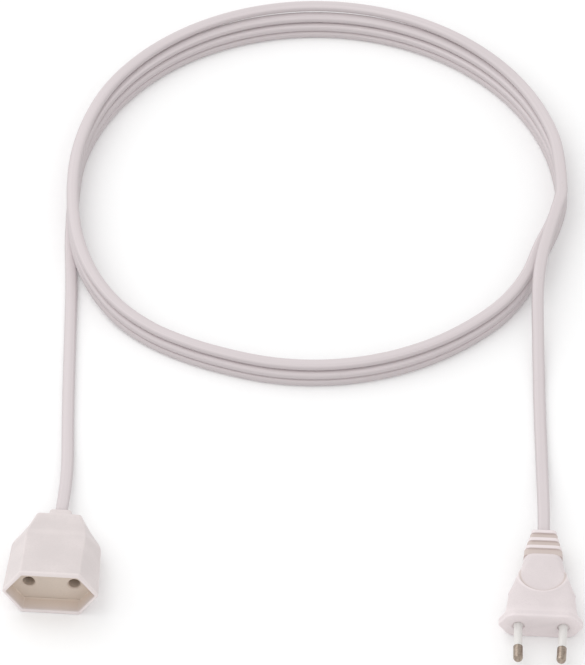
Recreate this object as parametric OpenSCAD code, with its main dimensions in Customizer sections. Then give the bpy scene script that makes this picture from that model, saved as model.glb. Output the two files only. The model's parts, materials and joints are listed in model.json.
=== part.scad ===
// Flat two-core extension cord: a coupler socket, a coiled flat cord and a two-pin plug.
// Millimetres. The origin is the middle of the coupler's footprint on the surface it lies on,
// +Z is up and the coupler's mouth faces -Y. The whole cord and the plug lie on that surface.

/* [Cord] */
// Width of the flat cord, across its two cores
cord_w = 5.2; // [4.8:0.1:5.6]
// Thickness of the flat cord
cord_t = 3.2; // [3.0:0.1:3.4]
// Diameter of one insulated core
core_d = 2.0; // [1.8:0.1:2.2]
// Diameter of the copper strands inside a core
copper_d = 1.1; // [0.9:0.1:1.2]

/* [Coil] */
// Radius of the coil, at the middle of its turns
coil_r = 106.5; // [100:0.5:112]
// Number of turns that lie on each other
coil_layers = 4; // [3:1:5]
// Width of the bundle of turns
coil_bundle_w = 13; // [10:1:16]

/* [Coupler housing] */
// Length of the housing, without the collar
socket_l = 42; // [40:0.5:45]
// Length of the slanted shoulders at the cord's end
shoulder_l = 13.5; // [12.5:0.5:15]
// Width of the rear end
rear_w = 21; // [20:0.5:23]
// Width where the shoulders end
shoulder_w = 38; // [37:0.5:39]
// Width across the corners of the mouth
mouth_w = 40.4; // [40:0.2:42]
// Thickness of the rear end
rear_t = 13; // [12:0.5:14]
// Thickness of the mouth
mouth_t = 23; // [22:0.5:24]
// Width of the flat top and bottom faces
top_flat_w = 24.6; // [24:0.2:26]
// Thickness of the rim around the mouth
rim = 1.9; // [1.6:0.1:2.2]
// Depth of the recess that takes the plug's face
recess_depth = 6.5; // [5:0.5:8]

/* [Contacts] */
// Distance between the two pin holes
hole_spacing = 19; // [18.6:0.1:19.2]
// Diameter of a pin hole
hole_d = 5; // [4.8:0.1:5.2]
// Outer diameter of a contact sleeve
contact_d = 5.2; // [5:0.1:5.4]
// Wall of a contact sleeve
contact_wall = 0.65; // [0.5:0.05:0.7]

/* [Plug] */
// Width of the plug's face, across its corners
face_w = 35.3; // [35:0.1:35.6]
// Height of the plug's face
face_t = 13.7; // [13.4:0.1:14]
// Thickness of the flange behind the face
flange_l = 5; // [4:0.5:6]
// Length of the plug's body, with the flange
plug_l = 35.5; // [34:0.5:37]
// Width of the body just behind the flange
plug_front_w = 29.5; // [28:0.5:30]
// Width of the body at the cord's end
plug_rear_w = 17; // [16:0.2:17.4]
// Diameter of the thumb grip
grip_d = 21; // [19:0.5:22]

/* [Pins] */
// Diameter of the bare pin
pin_d = 4; // [3.9:0.05:4]
// Length of a pin in front of the face
pin_l = 18.5; // [18.5:0.1:19.5]
// Distance between the pins at the face
pin_spacing = 18.6; // [18.3:0.1:19]
// Angle that each pin leans towards the other
pin_lean = 1.5; // [1:0.1:2]
// Diameter of the insulating sleeve
sleeve_d = 3.6; // [3.5:0.1:3.8]
// Length of the insulating sleeve in front of the face
sleeve_l = 11; // [10:0.1:11]

/* [Strain relief] */
// Number of ribs on the plug's strain relief
ribs = 3; // [2:1:4]
// Distance from one rib to the next
rib_pitch = 4.2; // [4:0.1:5]
// Width of the rib next to the body
rib_w = 16.8; // [16:0.1:17]
// How much narrower each rib is than the one before it
rib_step = 2.2; // [2:0.1:2.4]

/* [Hidden] */
$fn = 48;
white = [0.93, 0.9, 0.89];
cord_white = [0.9, 0.86, 0.86];
beige = [0.8, 0.74, 0.68];
brass = [0.8, 0.68, 0.42];
copper = [0.72, 0.45, 0.3];
brown = [0.4, 0.25, 0.16];
blue = [0.2, 0.35, 0.65];
hair = 0.01;

// Coupler: distances along its axis, measured from the rear end towards the mouth.
tilt = atan((mouth_t - rear_t) / 2 / socket_l);
collar_l = 5.5;
collar_step = 2.5;
collar_w = 10.7;
collar_t = 7;
floor_at = socket_l - recess_depth;
carrier_at = 15;
cap_at = 12.5;
chamber_at = 1;
plate_l = 2.5;
bore_l = 5;
hole_chamfer = 0.4;
contact_front = floor_at - bore_l - 1;
contact_back = 15.6;
crimp_at = 10;
sheath_end_at = 1;
core_x = core_d / 2 + 0.15;
recess_w = mouth_w - 2 * 1.7;
recess_t = mouth_t - 2 * rim;
recess_flat = top_flat_w - 1.5;

// The housing lies on its tapered underside, so the axis tips up by the taper.
socket_y_low = -socket_l * cos(tilt) - mouth_t / 2 * sin(tilt);
socket_y_high = collar_l * cos(tilt) + collar_t / 2 * sin(tilt);
socket_z = rear_t / 2 * cos(tilt);
socket_pos = [0, -(socket_y_low + socket_y_high) / 2, socket_z];

// Plug: distances along its axis, measured from the face towards the cord.
plug_pos = [202.6, -22.5, face_t / 2];
plug_yaw = 1;
relief_root_l = 8;
relief_l = ribs * rib_pitch;
bridge_at = 1.5;
bridge_l = 9;
plug_chamber_at = bridge_at + bridge_l;
pin_back = 17;
sleeve_wall = 0.4;
pin_root_r = 1.8;
anchor_at = 4.5;
anchor_l = 1.5;
anchor_r = 2.7;
plug_core_end = plug_l - relief_root_l - 1;

// Coil: the middle of its lowest turn, and how far up the bundle leans away from it.
coil_pos = [94.7, 209.6, 0];
coil_lean = [-0.2, 3.4, 0];

// The uncoiled stretches, from the coupler's collar to the coil and from the coil to the plug.
socket_route = [
    [0, 24.07, 5.8], [0.2, 34, 4.6], [0.2, 44, 3.5], [-0.2, 54, 2.6], [-1, 64, 2], [-1.9, 74, 1.7],
    [-2.7, 84, 1.6], [-3.5, 94, 1.6], [-4.2, 104, 1.6], [-4.9, 114, 1.6], [-5.6, 124, 1.6],
    [-6.3, 134, 1.6], [-7, 144, 1.6], [-7.9, 155, 1.6], [-9, 166, 1.6], [-10.3, 178, 1.6],
    [-11.1, 190, 1.6], [-11.5, 202, 1.6]
];
plug_route = [
    [200.9, 217, 11.2], [199.4, 207, 11.2], [197.5, 197, 11.2], [195.6, 187, 11.2], [194.1, 177, 11.3],
    [193.3, 167, 11.2], [193.2, 157, 9.9], [193.7, 147, 7.5], [194.4, 137, 5.2], [195, 127, 3.4],
    [195.7, 117, 2.2], [196.3, 107, 1.6], [197, 97, 1.6], [197.7, 87, 1.6], [198.5, 77, 1.8],
    [199.2, 67, 2.5], [199.9, 57, 3.8], [200.6, 47, 5.3], [201.2, 37, 6.5], [201.7, 25.7, 6.85]
];

// ---- Outlines -------------------------------------------------------------------------------

// Flat shape with round ends, such as the cord's section.
module oblong(w, t) {
    square([w - t, t], center = true);
    for (side = [-1, 1])
        translate([side * (w - t) / 2, 0]) circle(d = t);
}

// Hexagon that is flat at the top and bottom, with its corners at the sides.
module flat_hexagon(w, t, flat) {
    polygon([[-w / 2, 0], [-flat / 2, t / 2], [flat / 2, t / 2],
             [w / 2, 0], [flat / 2, -t / 2], [-flat / 2, -t / 2]]);
}

module round_rectangle(w, t, r) {
    square([w - 2 * r, t], center = true);
    square([w, t - 2 * r], center = true);
    for (x = [-1, 1], z = [-1, 1])
        translate([x * (w / 2 - r), z * (t / 2 - r)]) circle(r);
}

// ---- Placing --------------------------------------------------------------------------------

// The coupler's own space: +Y along its axis towards the mouth becomes -Y of the row.
module in_socket() {
    translate(socket_pos) rotate([-tilt, 0, 0]) children();
}

module in_plug() {
    translate(plug_pos) rotate([0, 0, plug_yaw]) children();
}

// A slab of an outline that stands across the axis, from one distance to another.
module slab_to_mouth(from, to) {
    translate([0, -from, 0]) rotate([90, 0, 0]) linear_extrude(to - from) children();
}

module slab_to_cord(from, to) {
    translate([0, to, 0]) rotate([90, 0, 0]) linear_extrude(to - from) children();
}

// A pin's own space, at its foot on the face and leaning towards the other pin.
module at_pin(side) {
    translate([side * pin_spacing / 2, 0, 0]) rotate([0, 0, -side * pin_lean]) children();
}

// Turns a profile of (radius, distance) points about the Y axis.
module turn_about_y() {
    rotate([-90, 0, 0]) rotate_extrude() children();
}

// ---- Coupler --------------------------------------------------------------------------------

module housing_shape() {
    middle_t = rear_t + (mouth_t - rear_t) * shoulder_l / socket_l;
    hull() {
        slab_to_mouth(0, hair) flat_hexagon(rear_w, rear_t, rear_w - 3);
        slab_to_mouth(shoulder_l, shoulder_l + hair) flat_hexagon(shoulder_w, middle_t, top_flat_w);
        slab_to_mouth(socket_l - hair, socket_l) flat_hexagon(mouth_w, mouth_t, top_flat_w);
    }
}

module wiring_chamber() {
    chamber_t = 6;
    back = 6;
    front = 14.2;
    translate([0, 0, -chamber_t / 2]) linear_extrude(chamber_t)
        polygon([[-back, -chamber_at], [back, -chamber_at], [front, -cap_at], [-front, -cap_at]]);
}

module plate_outline() {
    flat_hexagon(36, 17.6, 23.4);
}

module carrier_outline() {
    flat_hexagon(34, 13, 23);
}

module cap_outline() {
    flat_hexagon(30, 11, 20);
}

module socket_housing() {
    color(white) in_socket() difference() {
        housing_shape();
        slab_to_mouth(floor_at, socket_l + 1) flat_hexagon(recess_w, recess_t, recess_flat);
        slab_to_mouth(floor_at - plate_l, floor_at + hair) plate_outline();
        slab_to_mouth(carrier_at, floor_at - plate_l + hair) carrier_outline();
        slab_to_mouth(cap_at, carrier_at + hair) cap_outline();
        wiring_chamber();
        slab_to_mouth(-1, chamber_at + 1) oblong(8, 5.6);
    }
}

module contact_carrier() {
    color(beige) in_socket() difference() {
        union() {
            slab_to_mouth(carrier_at, floor_at - plate_l + hair) carrier_outline();
            slab_to_mouth(floor_at - plate_l, floor_at) plate_outline();
        }
        for (side = [-1, 1])
            translate([side * hole_spacing / 2, 0, 0]) {
                slab_to_mouth(carrier_at - 1, floor_at + 1) circle(d = hole_d);
                slab_to_mouth(carrier_at - 1, floor_at - bore_l) circle(d = contact_d + 0.8);
                translate([0, -floor_at, 0]) turn_about_y()
                    polygon([[0, -1], [hole_d / 2 + hole_chamfer + 1, -1], [hole_d / 2, hole_chamfer],
                             [0, hole_chamfer]]);
            }
    }
}

module carrier_cap() {
    color(beige) in_socket() difference() {
        slab_to_mouth(cap_at, carrier_at) cap_outline();
        for (side = [-1, 1])
            translate([side * hole_spacing / 2, 0, 0]) slab_to_mouth(cap_at - 1, carrier_at + 1) circle(r = 1.85);
    }
}

// Turned brass sleeve with slits that let it spring, and a crimp barrel behind it.
module contact(side) {
    sleeve_r = contact_d / 2;
    slit = 0.6;
    color(brass) in_socket() translate([side * hole_spacing / 2, 0, 0]) difference() {
        union() {
            slab_to_mouth(contact_back, contact_front) circle(r = sleeve_r);
            slab_to_mouth(crimp_at, contact_back) circle(r = 1.75);
        }
        slab_to_mouth(contact_back + 0.4, contact_front + 1) circle(r = sleeve_r - contact_wall);
        slab_to_mouth(crimp_at - 1, crimp_at + 5) circle(d = copper_d);
        slab_to_mouth(contact_back + 3, contact_front + 1) square([contact_d + 1, slit], center = true);
        slab_to_mouth(contact_back + 3, contact_front + 1) square([slit, contact_d + 1], center = true);
    }
}

module socket_core(side, shade) {
    color(shade) in_socket()
        swept(s_route(side * core_x, side * hole_spacing / 2, -sheath_end_at, -crimp_at), core_d, core_d);
}

module socket_strands(side) {
    color(copper) in_socket() translate([side * hole_spacing / 2, 0, 0])
        slab_to_mouth(crimp_at, crimp_at + 5) circle(d = copper_d);
}

module socket_sheath_end() {
    color(cord_white) in_socket() slab_to_mouth(-collar_l, sheath_end_at) oblong(cord_w, cord_t);
}

module socket_collar() {
    color(white) in_socket() difference() {
        union() {
            slab_to_mouth(-collar_step, 0) oblong(collar_w, collar_t);
            slab_to_mouth(-collar_l, -collar_step) oblong(collar_w - 1.2, collar_t - 0.8);
            slab_to_mouth(-hair, chamber_at) oblong(8, 5.6);
        }
        slab_to_mouth(-collar_l - 1, chamber_at + 1) oblong(cord_w, cord_t);
    }
}

// ---- Cord -----------------------------------------------------------------------------------

section_sides = 12;

function unit(v) = v / norm(v);
function section_point(i, w, t) = let (a = 360 * (i + 0.5) / section_sides)
    [sign(cos(a)) * (w - t) / 2 + t / 2 * cos(a), t / 2 * sin(a)];
function heading(route, i) =
    unit(route[min(i + 1, len(route) - 1)] - route[max(i - 1, 0)]);
function across(route, i) = unit(cross(heading(route, i), [0, 0, 1]));
function above(route, i) = cross(across(route, i), heading(route, i));
function ring(route, i, w, t) = [for (s = [0 : section_sides - 1])
    let (p = section_point(s, w, t)) route[i] + p[0] * across(route, i) + p[1] * above(route, i)];

// A flat section swept along a route, lying on its wide side.
module swept(route, w, t) {
    rings = len(route);
    points = [for (i = [0 : rings - 1]) each ring(route, i, w, t)];
    sides = [for (i = [0 : rings - 2], s = [0 : section_sides - 1])
        let (a = i * section_sides + s, b = i * section_sides + (s + 1) % section_sides)
            [a, b, b + section_sides, a + section_sides]];
    first = [for (s = [section_sides - 1 : -1 : 0]) s];
    last = [for (s = [0 : section_sides - 1]) (rings - 1) * section_sides + s];
    polyhedron(points, concat([first], sides, [last]));
}

// A level route that leaves and arrives straight along the axis and swings sideways in between.
function swing(t) = (1 - cos(180 * min(max((t - 0.1) / 0.8, 0), 1))) / 2;
function s_route(from_x, to_x, from_y, to_y) = [for (t = [0 : 0.05 : 1.001])
    [from_x + (to_x - from_x) * swing(t), from_y + (to_y - from_y) * t, 0]];

module cord_tail_socket() {
    color(cord_white) swept(socket_route, cord_w, cord_t);
}

module cord_tail_plug() {
    color(cord_white) swept(plug_route, cord_w, cord_t);
}

module cord_coil() {
    color(cord_white) translate(coil_pos + coil_lean) rotate_extrude($fn = 96)
        translate([coil_r - coil_bundle_w / 2, 0]) square([coil_bundle_w, coil_layers * cord_t]);
}

// ---- Plug -----------------------------------------------------------------------------------

module plug_shape() {
    hull() {
        slab_to_cord(flange_l - 1, flange_l) round_rectangle(plug_front_w, 12.4, 2.5, $fn = 32);
        slab_to_cord(14, 14 + hair) round_rectangle(28, 12, 3, $fn = 32);
        slab_to_cord(plug_l - hair, plug_l) round_rectangle(plug_rear_w, 9.6, 3.5, $fn = 32);
    }
    slab_to_cord(0, flange_l) flat_hexagon(face_w, face_t, 21.6);
}

// Shallow thumb grip on the top and the bottom of the body: round in front, open to the cord.
module grips() {
    grip_at = 24.4;
    grip_floor = 5.1;
    for (side = [0, 1]) mirror([0, 0, side])
        translate([0, 0, grip_floor]) {
            translate([0, grip_at, 0]) cylinder(d = grip_d, h = 4);
            translate([-grip_d / 2, grip_at, 0]) cube([grip_d, plug_l, 4]);
        }
}

module pin_bridge_shape() {
    slab_to_cord(bridge_at, bridge_at + bridge_l) round_rectangle(26, 9, 2);
}

module plug_body() {
    front = 12.2;
    back = 5;
    chamber_t = 5;
    relief_at = plug_l - relief_root_l;
    color(white) in_plug() difference() {
        plug_shape();
        grips();
        pin_bridge_shape();
        for (side = [-1, 1])
            at_pin(side) slab_to_cord(-1, bridge_at + 1) circle(d = sleeve_d);
        translate([0, 0, -chamber_t / 2]) linear_extrude(chamber_t)
            polygon([[-front, plug_chamber_at], [front, plug_chamber_at], [front, pin_back + 0.5],
                     [back, relief_at + hair], [-back, relief_at + hair], [-front, pin_back + 0.5]]);
        slab_to_cord(relief_at, plug_l + 1) oblong(12, 6.6);
    }
}

module plug_strain_relief() {
    groove_l = 2.5;
    color(white) in_plug() difference() {
        union() {
            slab_to_cord(plug_l - relief_root_l, plug_l + hair) oblong(12, 6.6);
            for (i = [0 : ribs - 1]) {
                groove_w = rib_w - i * rib_step;
                ridge_w = rib_w - (i + 0.75) * rib_step;
                at = plug_l + i * rib_pitch;
                slab_to_cord(at, at + groove_l) oblong(groove_w - 0.6, groove_w * 0.56 - 1.6);
                slab_to_cord(at + groove_l, at + rib_pitch) oblong(ridge_w, ridge_w * 0.56);
            }
        }
        slab_to_cord(plug_l - relief_root_l - 1, plug_l + relief_l + 1) oblong(cord_w, cord_t);
    }
}

module plug_sheath_end() {
    color(cord_white) in_plug() slab_to_cord(plug_core_end, plug_l + relief_l) oblong(cord_w, cord_t);
}

module pin_bridge() {
    color(beige) in_plug() difference() {
        pin_bridge_shape();
        for (side = [-1, 1]) at_pin(side) {
            slab_to_cord(0, bridge_at + bridge_l + 1) circle(r = pin_root_r);
            slab_to_cord(anchor_at, anchor_at + anchor_l) circle(r = anchor_r);
        }
    }
}

// Pin with a round tip, a neck for the sleeve, an anchoring collar and a crimp barrel.
module pin(side) {
    tip_r = pin_d / 2;
    neck_r = sleeve_d / 2 - sleeve_wall;
    color(brass) in_plug() at_pin(side) difference() {
        union() {
            translate([0, -pin_l + tip_r, 0]) sphere(r = tip_r);
            slab_to_cord(-pin_l + tip_r, -sleeve_l) circle(r = tip_r);
            slab_to_cord(-sleeve_l - hair, bridge_at + hair) circle(r = neck_r);
            slab_to_cord(bridge_at, pin_back) circle(r = pin_root_r);
            slab_to_cord(anchor_at, anchor_at + anchor_l) circle(r = anchor_r);
        }
        slab_to_cord(pin_back - 5, pin_back + 1) circle(d = copper_d);
    }
}

module pin_sleeve(side) {
    color(white) in_plug() at_pin(side) difference() {
        slab_to_cord(-sleeve_l, bridge_at) circle(d = sleeve_d);
        slab_to_cord(-sleeve_l - 1, bridge_at + 1) circle(r = sleeve_d / 2 - sleeve_wall);
    }
}

module plug_strands(side) {
    color(copper) in_plug() at_pin(side) slab_to_cord(pin_back - 5, pin_back) circle(d = copper_d);
}

module plug_core(side, shade) {
    pin_x = pin_spacing / 2 + pin_back * sin(pin_lean);
    color(shade) in_plug()
        swept(s_route(side * core_x, side * pin_x, plug_core_end, pin_back), core_d, core_d);
}

socket_housing();
contact_carrier();
carrier_cap();
contact(-1);  // contact_left
contact(1);  // contact_right
socket_strands(-1);  // socket_strands_left
socket_strands(1);  // socket_strands_right
socket_core(-1, blue);  // socket_core_left
socket_core(1, brown);  // socket_core_right
socket_sheath_end();
socket_collar();
cord_tail_socket();
cord_coil();
cord_tail_plug();
plug_body();
plug_strain_relief();
plug_sheath_end();
pin_bridge();
pin(-1);  // pin_left
pin(1);  // pin_right
pin_sleeve(-1);  // pin_sleeve_left
pin_sleeve(1);  // pin_sleeve_right
plug_strands(-1);  // plug_strands_left
plug_strands(1);  // plug_strands_right
plug_core(-1, blue);  // plug_core_left
plug_core(1, brown);  // plug_core_right
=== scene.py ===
"""Looks of a flat two-core extension cord: coupler socket, coiled cord and two-pin plug.

Metres, in the row frame: the origin is the middle of the coupler's footprint, +Z is up, and the
coupler's mouth faces -Y.
"""
import json
import math
from collections import namedtuple

import bmesh
import bpy
from bpy.props import FloatProperty, FloatVectorProperty, PointerProperty
from mathutils import Matrix, Vector


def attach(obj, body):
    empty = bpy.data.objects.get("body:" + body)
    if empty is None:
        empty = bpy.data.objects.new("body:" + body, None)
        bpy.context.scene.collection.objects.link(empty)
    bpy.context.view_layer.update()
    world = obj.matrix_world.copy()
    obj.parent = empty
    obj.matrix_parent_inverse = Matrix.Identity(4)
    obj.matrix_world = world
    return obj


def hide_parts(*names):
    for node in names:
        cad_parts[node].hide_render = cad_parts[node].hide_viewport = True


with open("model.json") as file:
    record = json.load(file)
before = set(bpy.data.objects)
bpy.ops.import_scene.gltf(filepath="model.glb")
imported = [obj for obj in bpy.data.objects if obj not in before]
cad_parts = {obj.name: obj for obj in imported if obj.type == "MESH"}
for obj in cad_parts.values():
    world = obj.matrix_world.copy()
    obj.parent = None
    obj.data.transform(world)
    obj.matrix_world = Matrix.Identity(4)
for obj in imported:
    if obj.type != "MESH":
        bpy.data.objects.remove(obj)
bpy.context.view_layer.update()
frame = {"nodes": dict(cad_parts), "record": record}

bl_info = {
    "name": "Extension Cord",
    "version": (1, 0, 0),
    "blender": (4, 5, 0),
    "location": "View3D > Sidebar > Extension Cord",
    "description": "Builds the visible pieces and finishes of a flat extension cord",
    "category": "Add Mesh",
}

MM = 0.001

# The uncoiled stretches, as in the part's source: from the collar to the coil, and from the coil
# to the plug.
SOCKET_ROUTE = [
    (0, 0.02407, 0.0058), (0.0002, 0.034, 0.0046), (0.0002, 0.044, 0.0035), (-0.0002, 0.054, 0.0026),
    (-0.001, 0.064, 0.002), (-0.0019, 0.074, 0.0017), (-0.0027, 0.084, 0.0016),
    (-0.0035, 0.094, 0.0016), (-0.0042, 0.104, 0.0016), (-0.0049, 0.114, 0.0016),
    (-0.0056, 0.124, 0.0016), (-0.0063, 0.134, 0.0016), (-0.007, 0.144, 0.0016),
    (-0.0079, 0.155, 0.0016), (-0.009, 0.166, 0.0016), (-0.0103, 0.178, 0.0016),
    (-0.0111, 0.19, 0.0016), (-0.0115, 0.202, 0.0016),
]
PLUG_ROUTE = [
    (0.2009, 0.217, 0.0112), (0.1994, 0.207, 0.0112), (0.1975, 0.197, 0.0112),
    (0.1956, 0.187, 0.0112), (0.1941, 0.177, 0.0113), (0.1933, 0.167, 0.0112),
    (0.1932, 0.157, 0.0099), (0.1937, 0.147, 0.0075), (0.1944, 0.137, 0.0052),
    (0.195, 0.127, 0.0034), (0.1957, 0.117, 0.0022), (0.1963, 0.107, 0.0016),
    (0.197, 0.097, 0.0016), (0.1977, 0.087, 0.0016), (0.1985, 0.077, 0.0018),
    (0.1992, 0.067, 0.0025), (0.1999, 0.057, 0.0038), (0.2006, 0.047, 0.0053),
    (0.2012, 0.037, 0.0065), (0.2017, 0.0257, 0.00685),
]
COIL_CENTRE = Vector((0.0947, 0.211, 0))
COIL_TURNS = 3.5
COIL_START = math.radians(184)
# The coil leans back and its lower half hangs to the left, seen along this heading.
COIL_HEADING = math.radians(4)
COIL_LEAN = 0.75 * MM
COIL_HANG = 2.2 * MM
COIL_FLATTENED = 0.962
# Where the coil stands out from its round, and where it is drawn in under the plug's tail:
# heading in degrees, half the stretch in degrees, and how far out.
COIL_BENDS = [(221, 36, 4.4 * MM), (345, 19, -3.6 * MM)]
# Shares of a turn in which the cord climbs on to the turn below, and how much later it leans.
LAYER_CHANGE = (0.86, 0.94)
LEAN_DELAY = 0.15

PLUG_NODES_KEPT = [
    "plug_sheath_end", "pin_bridge", "plug_strands_left", "plug_strands_right",
    "plug_core_left", "plug_core_right",
]


# ---- Settings -------------------------------------------------------------------------------

def size(name, description, metres):
    return FloatProperty(name=name, description=description, default=metres, min=0.0, precision=5,
                         unit="LENGTH")


def tone(name, description, colour):
    return FloatVectorProperty(name=name, description=description, default=colour, size=3,
                               min=0.0, max=1.0, subtype="COLOR")


class CordSettings(bpy.types.PropertyGroup):
    """Sizes of the flat cord and its coil"""
    width: size("Width", "Width of the flat cord, across its two cores", 5.2 * MM)
    thickness: size("Thickness", "Thickness of the flat cord", 3.2 * MM)
    coil_radius: size("Coil radius", "Radius of the coil at the middle of its turns", 106.5 * MM)
    ring_step: size("Ring step", "Distance from one ring of the cord's mesh to the next", 3.5 * MM)


class CouplerSettings(bpy.types.PropertyGroup):
    """Sizes of the coupler socket"""
    length: size("Length", "Length of the housing, without the collar", 42 * MM)
    shoulder: size("Shoulders", "Distance from the mouth to the shoulders", 28.5 * MM)
    recess: size("Recess", "Depth of the recess that takes the plug's face", 6.5 * MM)
    edge: size("Edge", "Radius of the moulded outer edges", 0.9 * MM)
    hole_spacing: size("Hole spacing", "Distance between the two pin holes", 19 * MM)


class PlugSettings(bpy.types.PropertyGroup):
    """Sizes of the two-pin plug"""
    length: size("Length", "Length of the moulded body", 35.5 * MM)
    face_width: size("Face width", "Width of the face across its corners", 35.3 * MM)
    face_height: size("Face height", "Height of the face", 13.7 * MM)
    grip_radius: size("Grip radius", "Radius of the round thumb grip", 10.5 * MM)
    pin_spacing: size("Pin spacing", "Distance between the pins at the face", 18.6 * MM)
    pin_length: size("Pin length", "Length of a pin in front of the face", 18.5 * MM)


class FinishSettings(bpy.types.PropertyGroup):
    """Colours of the mouldings, the cord and the stage"""
    housing: tone("Housing", "Coupler plastic", (0.70, 0.635, 0.628))
    plug: tone("Plug", "Plug plastic", (0.735, 0.663, 0.667))
    cord: tone("Cord", "Cord sheath", (0.665, 0.602, 0.612))
    # The insert's beige is partly its own tone and partly painted shade of the recess it sits in.
    insert: tone("Insert", "Hard insert in the coupler", (0.64, 0.55, 0.475))
    # The strain relief's grooves and the thumb grip's wall take this colour as painted shade.
    groove_shade: tone("Groove", "Bottom of the strain relief's grooves", (0.61, 0.52, 0.485))
    floor: tone("Floor", "Floor under the cord", (0.99, 0.99, 0.99))


# ---- Spaces ---------------------------------------------------------------------------------

class Space:
    """Axes of one end of the cord: x across, y back from the face towards the cord, z up."""

    def __init__(self, origin, back):
        self.origin = Vector(origin)
        self.back = Vector(back).normalized()
        self.across = self.back.cross(Vector((0, 0, 1))).normalized()
        self.up = self.across.cross(self.back)

    def at(self, x, y, z):
        return self.origin + x * self.across + y * self.back + z * self.up


SIDES = {-1: "left", 1: "right"}
# The pin mounts are at the middle of the bare tips, this far in front of the plug's face.
PIN_MOUNT_AT = 13.75 * MM


def mount(name):
    return next(m for m in frame["record"]["mounts"] if m["name"] == name)


def coupler_space():
    """The coupler's own space, from the middle of its mouth."""
    mouth = mount("mouth")
    return Space(mouth["pos_m"], -Vector(mouth["axis"]))


def pin_space(side):
    """A pin's own space, from its foot on the plug's face."""
    tip = mount("pin_" + SIDES[side] + "_tip")
    axis = Vector(tip["axis"])
    return Space(Vector(tip["pos_m"]) - PIN_MOUNT_AT * axis, -axis)


def plug_space():
    """The plug's own space, from the middle of its face."""
    left = pin_space(-1)
    right = pin_space(1)
    return Space((left.origin + right.origin) / 2, left.back + right.back)


# ---- Mesh making ----------------------------------------------------------------------------

# Points round a piece, with an edge paleness (0 to 1, partly rubbed paleness, partly painted highlight) and
# a painted shade (0 to 1) for each of them.
Ring = namedtuple("Ring", "points wear tint", defaults=(0.0, 0.0))


def spread(value, count):
    return list(value) if isinstance(value, (list, tuple)) else [value] * count


def blend(a, b, share):
    return a + (b - a) * share


def smooth_step(low, high, value):
    share = min(max((value - low) / (high - low), 0.0), 1.0)
    return share * share * (3 - 2 * share)


def middle(points):
    return sum(points, Vector()) / len(points)


def loft(name, rings):
    """A closed skin through rings with equal numbers of points, with UVs in turns and metres."""
    count = len(rings[0].points)
    points = [point for ring in rings for point in ring.points]
    faces = [tuple(reversed(range(count)))]
    corners = [[(0.5, 0.0)] * count]
    along = 0.0
    for i in range(len(rings) - 1):
        step = (middle(rings[i + 1].points) - middle(rings[i].points)).length
        for s in range(count):
            here = i * count
            there = here + count
            after = (s + 1) % count
            faces.append((here + s, here + after, there + after, there + s))
            left = s / count
            right = (s + 1) / count
            corners.append([(left, along), (right, along), (right, along + step), (left, along + step)])
        along += step
    faces.append(tuple(range(len(points) - count, len(points))))
    corners.append([(0.5, along)] * count)

    mesh = bpy.data.meshes.new(name)
    mesh.from_pydata(points, [], faces)
    uv_layer = mesh.uv_layers.new(name="UVMap")
    uv_layer.data.foreach_set("uv", [v for face in corners for corner in face for v in corner])
    for key in ("wear", "tint"):
        values = [v for ring in rings for v in spread(getattr(ring, key), count)]
        mesh.attributes.new(key, "FLOAT", "POINT").data.foreach_set("value", values)
    return place(name, mesh)


def place(name, mesh):
    """Puts a mesh in the scene with outward, smooth faces."""
    work = bmesh.new()
    work.from_mesh(mesh)
    bmesh.ops.recalc_face_normals(work, faces=work.faces)
    if work.calc_volume(signed=True) < 0:
        bmesh.ops.reverse_faces(work, faces=work.faces)
    work.to_mesh(mesh)
    work.free()
    mesh.polygons.foreach_set("use_smooth", [True] * len(mesh.polygons))
    piece = bpy.data.objects.new(name, mesh)
    bpy.context.scene.collection.objects.link(piece)
    return piece


def tube(name, rings):
    """A ring-shaped skin: a loft whose last ring joins its first, with no end faces."""
    piece = loft(name, rings + [rings[0]])
    work = bmesh.new()
    work.from_mesh(piece.data)
    ends = [face for face in work.faces if len(face.verts) > 4]
    bmesh.ops.delete(work, geom=ends, context="FACES_ONLY")
    bmesh.ops.remove_doubles(work, verts=work.verts, dist=1e-7)
    bmesh.ops.recalc_face_normals(work, faces=work.faces)
    if work.calc_volume(signed=True) < 0:
        bmesh.ops.reverse_faces(work, faces=work.faces)
    work.to_mesh(piece.data)
    work.free()
    return piece


def even_shading(piece, sharp_angle):
    """Keeps large faces flat where small rounded edges join them."""
    piece.data.set_sharp_from_angle(angle=math.radians(sharp_angle))
    normals = piece.modifiers.new("even_shading", "WEIGHTED_NORMAL")
    normals.keep_sharp = True


def cut(piece, cutters):
    """Takes the cutters' shapes out of a piece."""
    for cutter in cutters:
        trim = piece.modifiers.new("cut", "BOOLEAN")
        trim.operation = "DIFFERENCE"
        trim.solver = "EXACT"
        trim.object = cutter
    seen = piece.evaluated_get(bpy.context.evaluated_depsgraph_get())
    mesh = bpy.data.meshes.new_from_object(seen)
    piece.modifiers.clear()
    piece.data = mesh
    for cutter in cutters:
        bpy.data.objects.remove(cutter)


def rounded_outline(corners, radius, steps):
    """Points round a convex outline, anticlockwise, each corner an arc of the same step count."""
    outline = []
    for i, corner in enumerate(corners):
        here = Vector(corner)
        to_last = (Vector(corners[i - 1]) - here).normalized()
        to_next = (Vector(corners[(i + 1) % len(corners)]) - here).normalized()
        half = to_last.angle(to_next) / 2
        centre = here + (to_last + to_next).normalized() * radius / math.sin(half)
        arm = here + to_last * radius / math.tan(half) - centre
        turn = math.pi - 2 * half
        for k in range(steps + 1):
            outline.append(centre + Matrix.Rotation(turn * k / steps, 2) @ arm)
    return outline


def hexagon(width, height, flat, inset=0.0):
    """Corners of a hexagon that is flat at the top and bottom, with its sides moved in by inset."""
    slope = (width - flat) / height
    w = width / 2 - inset * math.sqrt(1 + slope * slope)
    h = height / 2 - inset
    f = w - slope * h
    return [(w, 0), (f, h), (-f, h), (-w, 0), (-f, -h), (f, -h)]


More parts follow.
